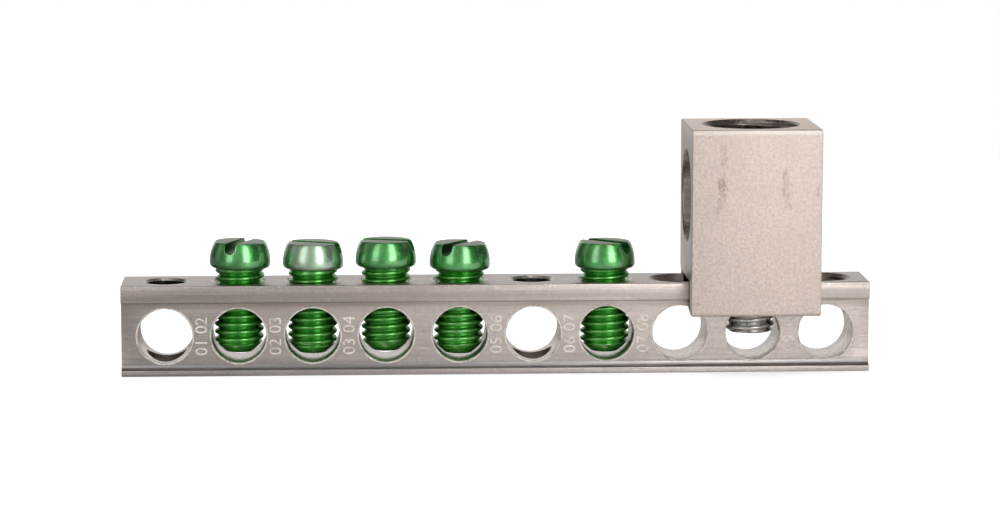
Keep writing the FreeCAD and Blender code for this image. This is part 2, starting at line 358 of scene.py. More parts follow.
def swept_along_x(name, outline, start, end, edge):
    """Extrude a (y, z) outline along X, with its end corners broken by edge."""
    count = len(outline)
    inward = []
    for index, point in enumerate(outline):
        run = (outline[(index + 1) % count] - outline[index - 1]).normalized()
        inward.append(Vector((-run.y, run.x)))
    area = sum(a.x * b.y - b.x * a.y for a, b in zip(outline, outline[1:] + outline[:1]))
    side = math.copysign(1.0, area)
    stations = ((start, edge), (start + 0.3 * edge, 0.3 * edge), (start + edge, 0.0),
                (end - edge, 0.0), (end - 0.3 * edge, 0.3 * edge), (end, edge))
    points = []
    for x, inset in stations:
        for point, normal in zip(outline, inward):
            moved = point + normal * side * inset
            points.append((x, moved.x, moved.y))
    faces = [tuple(range(count))[::-1],
             tuple((len(stations) - 1) * count + i for i in range(count))]
    for index in range(len(stations) - 1):
        faces += skin(index * count, (index + 1) * count, count)
    obj = mesh_object(name, points, faces)
    fix_normals(obj)
    return obj


def fix_normals(obj):
    """Turn all faces outwards."""
    with editing(obj.data) as shape:
        bmesh.ops.recalc_face_normals(shape, faces=shape.faces)


AXES = {"X": Matrix.Rotation(math.radians(90), 4, "Y"), "Z": Matrix.Identity(4),
        "Y": Matrix.Rotation(math.radians(-90), 4, "X")}


def turned(name, profile, centre, axis="Z", sides=96, slots=(), turn=0.31):
    """Revolve (radius, height) points about an axis through centre; both ends are closed.

    slots gives the material slot of each band between two points of the profile. turn, in steps,
    keeps the corners of one cutter off the planes that hold the corners of another.
    """
    points, faces = [], []
    for radius, height in profile:
        for step in range(sides):
            angle = 2 * math.pi * (step + turn) / sides
            points.append(Vector((radius * math.cos(angle), radius * math.sin(angle), height)))
    faces.append(tuple(range(sides))[::-1])
    top = (len(profile) - 1) * sides
    faces.append(tuple(top + i for i in range(sides)))
    for index in range(len(profile) - 1):
        faces += skin(index * sides, (index + 1) * sides, sides)
    place = Matrix.Translation(Vector(centre)) @ AXES[axis]
    obj = mesh_object(name, [place @ p for p in points], faces)
    # The two ends are the first two faces.
    for index, slot in enumerate(slots):
        for i in range(sides):
            obj.data.polygons[2 + index * sides + i].material_index = slot
    fix_normals(obj)
    return obj


def threaded_rod(name, crest, root, pitch, bottom, top, centre, taper=None, run_out=0.0,
                 sides=72, steps=12, phase=0.0):
    """A right-hand thread about Z, closed at both ends.

    taper is (tip radius, height, fullness) of the point, where a fullness of 1 is a straight cone;
    run_out is the length over which the thread fades into the plain shank at the top.
    """
    # Rows that would fall past an end are laid on it, and merged there.
    first = -int(math.ceil(1.5 * steps))
    last = int(math.ceil((top - bottom) / pitch * steps)) + steps // 2
    rows = last - first + 1
    points, faces = [], []
    for column in range(sides):
        angle = 2 * math.pi * column / sides
        for row in range(first, last + 1):
            height = bottom + (row / steps + column / sides) * pitch
            height = min(max(height, bottom), top)
            turn = (height - bottom) / pitch - column / sides + phase
            away = abs(turn - round(turn))
            # The power leaves broad crests and narrow roots.
            depth = (0.5 - 0.5 * math.cos(2 * math.pi * away)) ** 1.7
            if run_out:
                depth *= min(max((top - height) / run_out, 0.0), 1.0)
            radius = crest + (root - crest) * depth
            if taper:
                left = max(1 - (height - bottom) / taper[1], 0.0)
                radius = min(radius, crest + (taper[0] - crest) * left ** taper[2])
            points.append((centre[0] + radius * math.cos(angle),
                           centre[1] + radius * math.sin(angle), height))
    for column in range(sides):
        following = (column + 1) % sides
        shift = steps if following == 0 else 0
        for row in range(rows - 1):
            if row + 1 + shift < rows:
                a, b = column * rows + row, following * rows + row + shift
                faces.append((a, b, b + 1, a + 1))
    obj = mesh_object(name, points, faces)
    with editing(obj.data) as shape:
        bmesh.ops.remove_doubles(shape, verts=shape.verts, dist=0.0005 * MM)
        bmesh.ops.dissolve_degenerate(shape, edges=shape.edges, dist=0.0005 * MM)
        bmesh.ops.holes_fill(shape, edges=[e for e in shape.edges if e.is_boundary], sides=0)
        bmesh.ops.recalc_face_normals(shape, faces=shape.faces)
    return obj


def slot_cutter(name, width, depth, length, top, centre, angle):
    """A screwdriver slot with a half-round bottom, open upward at height top."""
    radius = width / 2
    bottom = arc((0, top - depth + radius), radius, math.pi, 2 * math.pi, 12)
    outline = [Vector(point) for point in ((-radius, top + radius), *bottom, (radius, top + radius))]
    obj = swept_along_x(name, outline, -length / 2, length / 2, 0.01 * MM)
    obj.data.transform(Matrix.Translation(Vector((centre[0], centre[1], 0)))
                       @ Matrix.Rotation(angle, 4, "Z"))
    return obj


def digits(text, size, depth, centre):
    """A shallow cutter for figures stamped upward along a face that looks towards -Y."""
    curve = bpy.data.curves.new("digits", "FONT")
    curve.body = text
    # The font's figures are this much lower than its size.
    curve.size = size * 1.38
    curve.align_x, curve.align_y = "CENTER", "CENTER"
    curve.extrude = depth
    curve.resolution_u = 3
    shown = linked("digits", curve)
    graph = bpy.context.evaluated_depsgraph_get()
    mesh = bpy.data.meshes.new_from_object(shown.evaluated_get(graph))
    bpy.data.objects.remove(shown)
    bpy.data.curves.remove(curve)
    mesh.transform(Matrix.Translation(centre) @ Matrix.Rotation(math.radians(90), 4, "X")
                   @ Matrix.Rotation(math.radians(90), 4, "Z"))
    mesh.materials.clear()
    with editing(mesh) as shape:
        bmesh.ops.remove_doubles(shape, verts=shape.verts, dist=0.001 * MM)
        bmesh.ops.recalc_face_normals(shape, faces=shape.faces)
    return linked("digits", mesh)


def ring_mesh(name, sections):
    """A closed ring through sections that have as many points each."""
    count, around = len(sections), len(sections[0])
    faces = []
    for step in range(count):
        faces += skin(step * around, (step + 1) % count * around, around)
    obj = mesh_object(name, [point for section in sections for point in section], faces)
    fix_normals(obj)
    return obj


def ring(name, profile, centre, sides=96):
    """Revolve a closed (radius, height) outline into a ring about Z."""
    sections = []
    for step in range(sides):
        angle = 2 * math.pi * step / sides
        sections.append([(centre[0] + radius * math.cos(angle), centre[1] + radius * math.sin(angle),
                          height) for radius, height in profile])
    return ring_mesh(name, sections)


def burr(thickness, radius, centre, seed, sides=144, around=8):
    """The torn lip round a hole drilled along Y: a ring of uneven thickness."""
    sections = []
    for step in range(sides):
        turn = 2 * math.pi * step / sides
        away = Vector((math.cos(turn), 0.0, math.sin(turn)))
        reach = thickness * (0.42 + 0.3 * lattice_noise.noise(away * 3 + Vector((seed, 0, 0)))
                             + 0.12 * lattice_noise.noise(away * 14 + Vector((seed, 5, 0))))
        bends = [2 * math.pi * index / around for index in range(around)]
        sections.append([centre + away * (radius + reach * math.cos(bend))
                         + Vector((0.0, reach * math.sin(bend), 0.0)) for bend in bends])
    return ring_mesh("burr", sections)


def join(obj, other, material):
    """Add another mesh to obj as it stands, in a material of its own; the other is used up."""
    if obj.data.materials.find(material.name) < 0:
        obj.data.materials.append(material)
    index = obj.data.materials.find(material.name)
    for face in other.data.polygons:
        face.material_index = index
    with editing(obj.data) as shape:
        shape.from_mesh(other.data)
    discard(other)


def dress(obj, node, material=None):
    """Finish a piece: it rides with its CAD node and stands for it, in one material if given."""
    if material:
        obj.data.materials.clear()
        obj.data.materials.append(material)
    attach(obj, frame["nodes"][node]["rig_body"])
    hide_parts(node)


# ---------------------------------------------------------------- materials

SMOOTH = {"interpolation_type": "SMOOTHSTEP"}
COLOUR = {"data_type": "RGBA"}
# A noise moved by a multiple of this shows another part of its pattern.
ELSEWHERE = Vector((1.0, 1.7, -2.3))


def add_node(tree, kind, inputs=(), **settings):
    """Add one node with its settings and links.

    The inputs in use are filled in order, or by name from a dictionary. A node or a socket given
    as an input is linked, and a node stands for its first output in use.
    """
    node = tree.nodes.new("ShaderNode" + kind)
    for name, value in settings.items():
        setattr(node, name, value)
    sockets = [socket for socket in node.inputs if socket.enabled]
    if isinstance(inputs, dict):
        sockets = [next(s for s in sockets if s.name == name) for name in inputs]
        inputs = inputs.values()
    for socket, value in zip(sockets, inputs):
        if isinstance(value, bpy.types.Node):
            value = next(out for out in value.outputs if out.enabled)
        if isinstance(value, bpy.types.NodeSocket):
            tree.links.new(value, socket)
        elif socket.type == "RGBA":
            socket.default_value = (*value, 1.0)
        else:
            socket.default_value = value
    return node


def empty_material(name):
    """A material with no nodes, and its tree."""
    material = bpy.data.materials.new(name)
    material.use_nodes = True
    material.node_tree.nodes.clear()
    return material, material.node_tree


def new_material(name):
    """A material with no shader yet: its tree, and its object coordinates in millimetres.

    A noise of scale 4 on those coordinates has marks about a quarter of a millimetre wide.
    """
    material, tree = empty_material(name)
    place = add_node(tree, "TexCoord").outputs["Object"]
    return material, tree, add_node(tree, "VectorMath", (place, 1 / MM), operation="SCALE")


def shade(colour, share):
    """A colour made darker, or lighter where the share is over 1."""
    return tuple(channel * share for channel in colour)


def layered(tree, tone, *layers):
    """Lay colours over a tone.

    A layer is (value, low, high, least, most, colour): while the value goes from low to high, the
    share of the colour goes from least to most.
    """
    for value, low, high, least, most, colour in layers:
        share = add_node(tree, "MapRange", (value, low, high, least, most), **SMOOTH)
        tone = add_node(tree, "Mix", (share, tone, colour), **COLOUR)
    return tone


def stripe(tree, value, low, rising, falling, high, most=1.0):
    """Nothing up to low, most from rising to falling, and nothing again from high."""
    lower = add_node(tree, "MapRange", (value, low, rising, 0.0, most), **SMOOTH)
    upper = add_node(tree, "MapRange", (value, high, falling), **SMOOTH)
    return add_node(tree, "Math", (lower, upper), operation="MULTIPLY")


def finish_metal(tree, tone, rough, bump, more=()):
    """The shader and the output of a bare or plated metal.

    rough is (value, low, high, smoothest, roughest), bump is (height, depth in metres, strength),
    and more holds the shader's other inputs by name.
    """
    height, depth, strength = bump
    shader = add_node(tree, "BsdfPrincipled", {
        "Base Color": tone, "Metallic": 1.0,
        "Roughness": add_node(tree, "MapRange", rough, **SMOOTH),
        "Normal": add_node(tree, "Bump", {"Height": height, "Distance": depth, "Strength": strength}),
        **dict(more)})
    add_node(tree, "OutputMaterial", (shader,))


def drawn_aluminium(colour, oxide, top, band, lip):
    """Extruded aluminium, bare and drawn through the die: soft grey sheen with fine long lines.

    The cove over the bottom lip is painted dark as shade, and a brown film lies along the band's
    lower edge. top, band and lip are the heights in millimetres of the bar, of that edge and of the
    lip.
    """
    material, tree, place = new_material("drawn_aluminium")
    height = add_node(tree, "SeparateXYZ", (place,)).outputs["Z"]
    # Die lines are finer than this; they are drawn about 0.25 mm apart so that they show.
    lines = add_node(tree, "TexNoise", (
        add_node(tree, "Mapping", {"Vector": place, "Scale": (0.035, 4.0, 4.0)}), 1.0, 4.0, 0.6))
    scratches = add_node(tree, "TexNoise", (
        add_node(tree, "Mapping", {"Vector": place, "Location": ELSEWHERE * 7,
                                   "Scale": (0.15, 9.0, 9.0)}), 1.0, 2.0, 0.55))
    cloud = add_node(tree, "TexNoise", (
        add_node(tree, "Mapping", {"Vector": place, "Location": ELSEWHERE * 3,
                                   "Scale": (0.12, 0.5, 0.5)}), 1.0, 3.0, 0.55))
    specks = add_node(tree, "TexNoise", (
        add_node(tree, "Mapping", {"Vector": place, "Location": ELSEWHERE * 9,
                                   "Scale": (1.5, 4.0, 4.0)}), 1.0, 4.0, 0.7))
    grain = add_node(tree, "TexNoise", (
        add_node(tree, "Mapping", {"Vector": place, "Location": ELSEWHERE * 15}), 2.2, 4.0, 0.8))
    light = tuple(min(1.0, c * 1.13) for c in colour)
    painted_glint, painted_cove_shade = srgb("#F3E7DA"), srgb("#7C7C7D")
    tone = layered(tree, shade(colour, 0.8), (lines, 0.3, 0.7, 0.25, 0.75, light),
                   (cloud, 0.35, 0.75, 0.0, 0.35, shade(colour, 0.75)),
                   (grain, 0.55, 0.68, 0.0, 0.6, light),
                   (grain, 0.45, 0.32, 0.0, 0.6, shade(colour, 0.6)))
    # Painted glints: bright cream specks near the top edge.
    edge = add_node(tree, "MapRange", (height, top - 0.7, top - 0.1), **SMOOTH)
    stronger = add_node(tree, "MapRange", (edge, 0.0, 1.0, 0.35, 1.0), **SMOOTH)
    bright = add_node(tree, "MapRange", (specks, 0.58, 0.7), **SMOOTH)
    painted_glints = add_node(tree, "Math", (bright, stronger), operation="MULTIPLY")
    tone = add_node(tree, "Mix", (painted_glints, tone, painted_glint), **COLOUR)
    # Painted shade over most of the band.
    painted_shade = stripe(tree, height, band + 0.2, band + 0.6, band + 1.0, band + 1.4, 0.4)
    tone = add_node(tree, "Mix", (painted_shade, tone, shade(colour, 0.62)), **COLOUR)
    # Painted shade: the top edge and the top face are darkened.
    tone = layered(tree, tone, (height, top - 0.1, top - 0.01, 0.0, 0.3, shade(colour, 0.5)))
    film = stripe(tree, height, band - 1.0, band - 0.5, band, band + 0.4)
    patchy = add_node(tree, "MapRange", (cloud, 0.3, 0.6, 0.25, 0.75), **SMOOTH)
    film = add_node(tree, "Math", (film, patchy), operation="MULTIPLY")
    tone = add_node(tree, "Mix", (film, tone, oxide), **COLOUR)
    # Painted shade: the cove over the lip is darkened.
    cove = stripe(tree, height, lip - 0.15, lip + 0.05, lip + 0.45, lip + 0.85, 0.7)
    tone = add_node(tree, "Mix", (cove, tone, painted_cove_shade), **COLOUR)
    grooves = add_node(tree, "Math", (scratches, 0.5, lines), operation="MULTIPLY_ADD")
    grooves = add_node(tree, "Math", (specks, 0.6, grooves), operation="MULTIPLY_ADD")
    finish_metal(tree, tone, (scratches, 0.3, 0.7, 0.3, 0.45), (grooves, 0.018 * MM, 0.8))
    return material


def sawn_aluminium(colour):
    """Aluminium cut off with a fine saw: even grey with close marks from front to back."""
    material, tree, place = new_material("sawn_aluminium")
    marks = add_node(tree, "TexNoise", (
        add_node(tree, "Mapping", {"Vector": place, "Scale": (0.2, 0.25, 5.0)}), 1.0, 4.0, 0.7))
    grain = add_node(tree, "TexNoise", (
        add_node(tree, "Mapping", {"Vector": place, "Location": ELSEWHERE * 6}), 3.0, 3.0, 0.55))
    tone = layered(tree, shade(colour, 0.88), (marks, 0.3, 0.7, 0.0, 1.0, colour),
                   (grain, 0.35, 0.7, 0.0, 0.4, shade(colour, 0.7)))
    finish_metal(tree, tone, (grain, 0.3, 0.7, 0.32, 0.45), (marks, 0.02 * MM, 0.7))
    return material


def drilled_aluminium(colour):
    """Aluminium fresh from the drill: bright walls with soft rings round the hole."""
    material, tree, place = new_material("drilled_aluminium")
    rings = add_node(tree, "TexNoise", (
        add_node(tree, "Mapping", {"Vector": place, "Scale": (0.35, 3.5, 0.35)}), 1.0, 3.0, 0.65))
    grain = add_node(tree, "TexNoise", (
        add_node(tree, "Mapping", {"Vector": place, "Location": ELSEWHERE * 6}), 2.5, 3.0, 0.55))
    tone = layered(tree, shade(colour, 0.72), (rings, 0.3, 0.7, 0.0, 1.0, colour),
                   (grain, 0.5, 0.7, 0.0, 0.5, shade(colour, 0.6)))
    finish_metal(tree, tone, (grain, 0.3, 0.7, 0.24, 0.4), (rings, 0.03 * MM, 0.8))
    return material


def burred_aluminium(colour, wall):
    """Thin torn burr round a drilled rim: pale cream where it stands up, like the wall elsewhere."""
    material, tree, place = new_material("burred_aluminium")
    torn = add_node(tree, "TexNoise", (
        add_node(tree, "Mapping", {"Vector": place, "Location": ELSEWHERE * 8}), 1.1, 4.0, 0.7))
    fine = add_node(tree, "TexNoise", (
        add_node(tree, "Mapping", {"Vector": place, "Location": ELSEWHERE}), 5.0, 3.0, 0.55))
    height = add_node(tree, "Math", (fine, 0.35, torn), operation="MULTIPLY_ADD")
    tone = layered(tree, shade(wall, 0.6), (height, 0.5, 0.75, 0.0, 1.0, colour))
    finish_metal(tree, tone, (fine, 0.3, 0.7, 0.4, 0.6), (height, 0.12 * MM, 1.0), {"Metallic": 0.2})
    return material


def tapped_aluminium_in_painted_shade(colour):
    """Aluminium threads and deep holes, painted dark as shade in the holes, with a soft sheen."""
    material, tree, place = new_material("tapped_aluminium_in_painted_shade")
    # Patches of lighter and darker painted shade.
    film = add_node(tree, "TexNoise", (place, 1.2, 3.0, 0.55))
    tone = layered(tree, shade(colour, 0.45), (film, 0.3, 0.7, 0.0, 1.0, colour))
    finish_metal(tree, tone, (film, 0.3, 0.7, 0.3, 0.45), (film, 0.02 * MM, 0.5))
    return material


def etched_aluminium(colour, stain, middle, top):
    """Extruded aluminium after a caustic etch: pale, matt, with a fine grain and faint brown marks.

    middle is the lug's middle along X, and top is its height, both in millimetres.
    """
    material, tree, place = new_material("etched_aluminium")
    axes = add_node(tree, "SeparateXYZ", (place,)).outputs
    grain = add_node(tree, "TexNoise", (place, 3.0, 5.0, 0.8))
    fine = add_node(tree, "TexNoise", (
        add_node(tree, "Mapping", {"Vector": place, "Location": ELSEWHERE * 5}), 9.0, 2.0, 0.55))
    cloud = add_node(tree, "TexNoise", (
        add_node(tree, "Mapping", {"Vector": place, "Location": ELSEWHERE * 2}), 0.35, 3.0, 0.55))
    marks = add_node(tree, "TexNoise", (
        add_node(tree, "Mapping", {"Vector": place, "Location": ELSEWHERE * 11,
                                   "Scale": (1.1, 1.1, 0.6)}), 1.0, 4.0, 0.7))
    broken = add_node(tree, "TexNoise", (
        add_node(tree, "Mapping", {"Vector": place, "Location": ELSEWHERE * 21,
                                   "Scale": (1.6, 1.6, 0.9)}), 1.0, 5.0, 0.8))
    dark = (colour[0] * 0.8, colour[1] * 0.79, colour[2] * 0.79)
    tone = layered(tree, dark, (grain, 0.34, 0.62, 0.0, 1.0, shade(colour, 1.1)),
                   (cloud, 0.4, 0.7, 0.0, 0.3, shade(colour, 0.86)),
                   (marks, 0.6, 0.75, 0.0, 0.35, stain))
    # Two smears run down the front: how far right of the middle, how far below the top their lower
    # and upper ends are, and how strong they are.
    for right, lower, upper, strength in ((-3.68, 9.0, 1.0, 0.65), (3.22, 8.4, 3.7, 0.6)):
        # Its line wanders by up to 1.2 mm each way.
        wander = add_node(tree, "Math", (marks, 2.4, -1.2 - middle - right), operation="MULTIPLY_ADD")
        beside = add_node(tree, "Math", (axes["X"], wander), operation="ADD")
        beside = add_node(tree, "Math", (beside,), operation="ABSOLUTE")
        across = add_node(tree, "MapRange", (beside, 0.5, 0.0), **SMOOTH)
        low, high = top - lower, top - upper
        down = stripe(tree, axes["Z"], low, low + 1.2, high - 1.2, high)
        torn = add_node(tree, "MapRange", (broken, 0.42, 0.6, 0.1, strength), **SMOOTH)
        smear = add_node(tree, "Math", (across, down), operation="MULTIPLY")
        smear = add_node(tree, "Math", (smear, torn), operation="MULTIPLY")
        tone = add_node(tree, "Mix", (smear, tone, stain), **COLOUR)
    # Painted highlight: a pale stripe just under the top edge, and the top is painted paler than the
    # sides as painted light.
    wear_and_painted_highlight = stripe(tree, axes["Z"], top - 0.7, top - 0.35, top - 0.15, top - 0.1, 0.5)
    tone = add_node(tree, "Mix", (wear_and_painted_highlight, tone, srgb("#F9F3EC")), **COLOUR)
    # Painted light: faces that look up are painted paler.
    facing = add_node(tree, "NewGeometry").outputs["Normal"]
    upward = add_node(tree, "SeparateXYZ", (facing,)).outputs["Z"]
    tone = layered(tree, tone, (upward, 0.9, 0.98, 0.0, 1.0, shade(colour, 1.3)))
    height = add_node(tree, "Math", (fine, 0.5, grain), operation="MULTIPLY_ADD")
    finish_metal(tree, tone, (grain, 0.3, 0.7, 0.5, 0.65), (height, 0.045 * MM, 0.9))
    return material


def green_zinc_plate(colour, worn, wear, number, neck, coat=1.0):
    """Steel, zinc plated and dyed green: clear glossy green over metal, silvery where it is rubbed.

    wear is the share of the head that has lost its dye; the flat top is dull and brownish. neck is
    the height in millimetres over which the thread's livelier green gives way to the head's.
    """
    material, tree, place = new_material("green_zinc_plate_" + str(number + 1))
    mottle = add_node(tree, "TexNoise", (
        add_node(tree, "Mapping", {"Vector": place, "Location": ELSEWHERE * 3 * number}), 0.7, 3.0, 0.6))
    specks = add_node(tree, "TexNoise", (
        add_node(tree, "Mapping", {"Vector": place, "Location": ELSEWHERE * 4}), 4.0, 3.0, 0.55))
    shape = add_node(tree, "NewGeometry").outputs
    height = add_node(tree, "SeparateXYZ", (place,)).outputs["Z"]
    upward = add_node(tree, "SeparateXYZ", (shape["Normal"],)).outputs["Z"]
    low, high = neck
    on_head = add_node(tree, "MapRange", (height, low, high), **SMOOTH)
    tone = layered(tree, shade(colour, 0.62), (mottle, 0.35, 0.65, 0.0, 1.0, colour))
    lively = (colour[0] * 1.3, colour[1] * 0.93, colour[2] * 0.75)
    tone = add_node(tree, "Mix", (on_head, lively, tone), **COLOUR)
    # The more wear, the more of the mottle has lost its dye.
    start = 0.75 - 0.6 * wear
    bare = add_node(tree, "MapRange", (mottle, start, start + 0.1), **SMOOTH)
    bare = add_node(tree, "Math", (bare, on_head), operation="MULTIPLY")
    corners = add_node(tree, "MapRange", (shape["Pointiness"], 0.52, 0.6), **SMOOTH)
    spots = add_node(tree, "MapRange", (specks, 0.35, 0.6), **SMOOTH)
    wear_and_painted_highlight = add_node(tree, "Math", (corners, spots), operation="MULTIPLY")
    bare = add_node(tree, "Math", (bare, wear_and_painted_highlight), operation="MAXIMUM")
    bare = add_node(tree, "Math", (bare, 0.75), operation="MULTIPLY")
    tone = add_node(tree, "Mix", (bare, tone, worn), **COLOUR)
    top = add_node(tree, "MapRange", (upward, 0.9, 0.98), **SMOOTH)
    top = add_node(tree, "Math", (top, on_head), operation="MULTIPLY")
    dull = layered(tree, srgb("#3F4B30"), (specks, 0.35, 0.65, 0.0, 1.0, srgb("#816F65")))
    faded = add_node(tree, "Math", (top, 0.8), operation="MULTIPLY")
    tone = add_node(tree, "Mix", (faded, tone, dull), **COLOUR)
    uneven = add_node(tree, "Math", (specks, 0.3, mottle), operation="MULTIPLY_ADD")
    gloss = add_node(tree, "MapRange", (height, low, high, 0.4 * coat, coat), **SMOOTH)
    gloss = add_node(tree, "Math", (gloss, top), operation="SUBTRACT")
    finish_metal(tree, tone, (specks, 0.3, 0.7, 0.28, 0.42), (uneven, 0.05 * MM, 0.8),
                 {"Coat Weight": gloss, "Coat Roughness": 0.12, "Coat IOR": 2.0})
    return material


def clear_zinc_plate(colour):
    """Steel with clear zinc plate: silvery grey, slightly mottled, half gloss."""
    material, tree, place = new_material("clear_zinc_plate")
    mottle = add_node(tree, "TexNoise", (place, 1.2, 3.0, 0.55))
    tone = layered(tree, shade(colour, 0.75), (mottle, 0.3, 0.7, 0.0, 1.0, colour))
    finish_metal(tree, tone, (mottle, 0.3, 0.7, 0.22, 0.36), (mottle, 0.02 * MM, 0.5))
    return material


def turned_aluminium(colour):
    """Aluminium turned on a lathe: clean grey with faint rings round the axis."""
    material, tree, place = new_material("turned_aluminium")
    rings = add_node(tree, "TexNoise", (
        add_node(tree, "Mapping", {"Vector": place, "Scale": (0.1, 0.1, 6.0)}), 1.0, 2.0, 0.55))
    tone = layered(tree, shade(colour, 0.85), (rings, 0.3, 0.7, 0.0, 1.0, colour))
    finish_metal(tree, tone, (rings, 0.3, 0.7, 0.25, 0.35), (rings, 0.01 * MM, 0.5))
    return material


# ---------------------------------------------------------------- operators

class EARTHBAR_OT_terminal_bar(bpy.types.Operator):
    """Build the extruded bar with its wire, mounting and tapped holes"""
    bl_idname = "earth_bar.terminal_bar"
    bl_label = "Build terminal bar"

    # The web between a position and the next carries both numbers, where it isn't left plain.
    NUMBERED_GAPS = (1, 2, 3, 5, 6, 7, 9)
    MOUNTING_POSITIONS = (1, 6)
    # Tapped positions with no screw in them, so that their threads show.
    OPEN_POSITIONS = (8, 10)

    def execute(self, context):
        sizes = context.scene.earth_bar
        finish = context.scene.earth_bar_finish
        low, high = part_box("terminal_bar")
        face, top = high.y, high.z
        web = face - sizes.web_recess
        bar = swept_along_x("terminal_bar_metal", self.section(sizes, face, web, top), low.x, high.x,
                            sizes.sawn_edge)
        bar.data.materials.append(drawn_aluminium(
            finish.bar, finish.oxide, top / MM, (top - sizes.top_band) / MM, sizes.bottom_lip / MM))
        surface(bar, sawn_aluminium(finish.sawn), lambda side: abs(side.normal.x) > 0.99)
        self.walls = (drilled_aluminium(finish.drilled), burred_aluminium(finish.burr, finish.drilled))
        self.threads = tapped_aluminium_in_painted_shade(finish.tapped)
        # A darker copy of the drilled walls: painted shade in the holes below the cross holes and in the
        # mouths of the open tapped holes.
        self.walls_in_painted_shade = drilled_aluminium(finish.bored)
        for position in range(1, sizes.positions + 1):
            self.drill(bar, sizes, position, self.along(sizes, position), face, web, top)
        stamped = burred_aluminium(finish.burr, finish.burr)
        for gap in self.NUMBERED_GAPS:
            place = (self.along(sizes, gap + 0.5), -web, sizes.wire_hole_height)
            cut(bar, digits("%02d %02d" % (gap, gap + 1), sizes.digit, sizes.stamp, place), stamped)
        soften(bar, 30.0)
        ring_radius = (sizes.wire_hole + sizes.rim) / 2 + 0.3 * sizes.burr
        for position in range(1, sizes.positions + 1):
            centre = Vector((self.along(sizes, position), -web, sizes.wire_hole_height))
            join(bar, burr(sizes.burr, ring_radius, centre, position), stamped)
        dress(bar, "terminal_bar")
        return {"FINISHED"}

    def along(self, sizes, position):
        """X of a position; 1.5 is half way from the first to the second."""
        return (position - (sizes.positions + 1) / 2) * sizes.pitch

    def section(self, sizes, face, web, top):
        """The extrusion's outline: a band, a recessed web, a cove and a lip on each side."""
        radius = sizes.corner
        cove = arc((face, sizes.bottom_lip + sizes.web_recess), sizes.web_recess,
                   1.5 * math.pi, math.pi, 8)[1:]
        half = [(face, 0, radius), (face, sizes.bottom_lip, radius * 0.6),
                *((u, v, 0) for u, v in cove), (web, top - sizes.top_band, 0.1 * MM),
                (face, top - sizes.top_band, radius), (face, top, radius)]
        return rounded_outline(half + [(-u, v, r) for u, v, r in reversed(half)])

    def drill(self, bar, sizes, position, x, face, web, top):
        """Cut the cross hole and the vertical hole of one position.

        The cross hole's profile runs from front to back: clear of the web, the break on its rim,
        the wall, and the same again behind.
        """
        r, rim = sizes.wire_hole / 2, sizes.rim
        out = face + PAST
        past = web + 0.03 * MM
        cross = [(r + rim, -out), (r + rim, -past), (r + rim * 0.4, -web + rim * 0.4),
                 (r, -web + rim * 1.3), (r, web - rim * 1.3), (r + rim * 0.4, web - rim * 0.4),
                 (r + rim, past), (r + rim, out)]
        cut(bar, turned("cross", cross, (x, 0, sizes.wire_hole_height), "Y",
                        slots=(1, 1, 1, 0, 1, 1, 1)),
            *self.walls)
        above = top + PAST
        # Just off the axis, where it meets no edge of the cross hole.
        middle = sizes.wire_hole_height + 0.07 * MM
        if position in self.MOUNTING_POSITIONS:
            r, mouth = sizes.mounting_hole / 2, sizes.mounting_mouth
            # Painted shade: the wall above the cross hole takes the dark tapped colour, and the wall
            # below it the darker drilled copy.
            plain = [(r + 0.1 * MM + PAST, -PAST), (r, 0.1 * MM), (r, middle), (r, top - mouth),
                     (r + mouth + PAST, above)]
            cut(bar, turned("plain", plain, (x, 0, 0), sides=64, slots=(1, 1, 0, 2)),
                self.threads, self.walls_in_painted_shade, self.walls[0])
            return
        mouth, core = sizes.tapped_mouth, sizes.tapped_core / 2
        r = sizes.tapped_hole / 2
        if position in self.OPEN_POSITIONS:
            cut(bar, threaded_rod("thread", r, core, sizes.thread_pitch, middle, top + 0.5 * MM, (x, 0)),
                self.threads)
            cone = [(core * 0.5, top - mouth - (r - core * 0.5)), (r + mouth + PAST, above)]
            cut(bar, turned("mouth", cone, (x, 0, 0)), self.walls_in_painted_shade)
        else:
            # A screw hides this hole's thread, and a smooth wall stays clear of the screw's own.
            clear = [(r, middle), (r, top - mouth), (r + mouth + PAST, above)]
            cut(bar, turned("clear", clear, (x, 0, 0), turn=0.17, slots=(0, 1)),
                self.threads, self.walls[0])


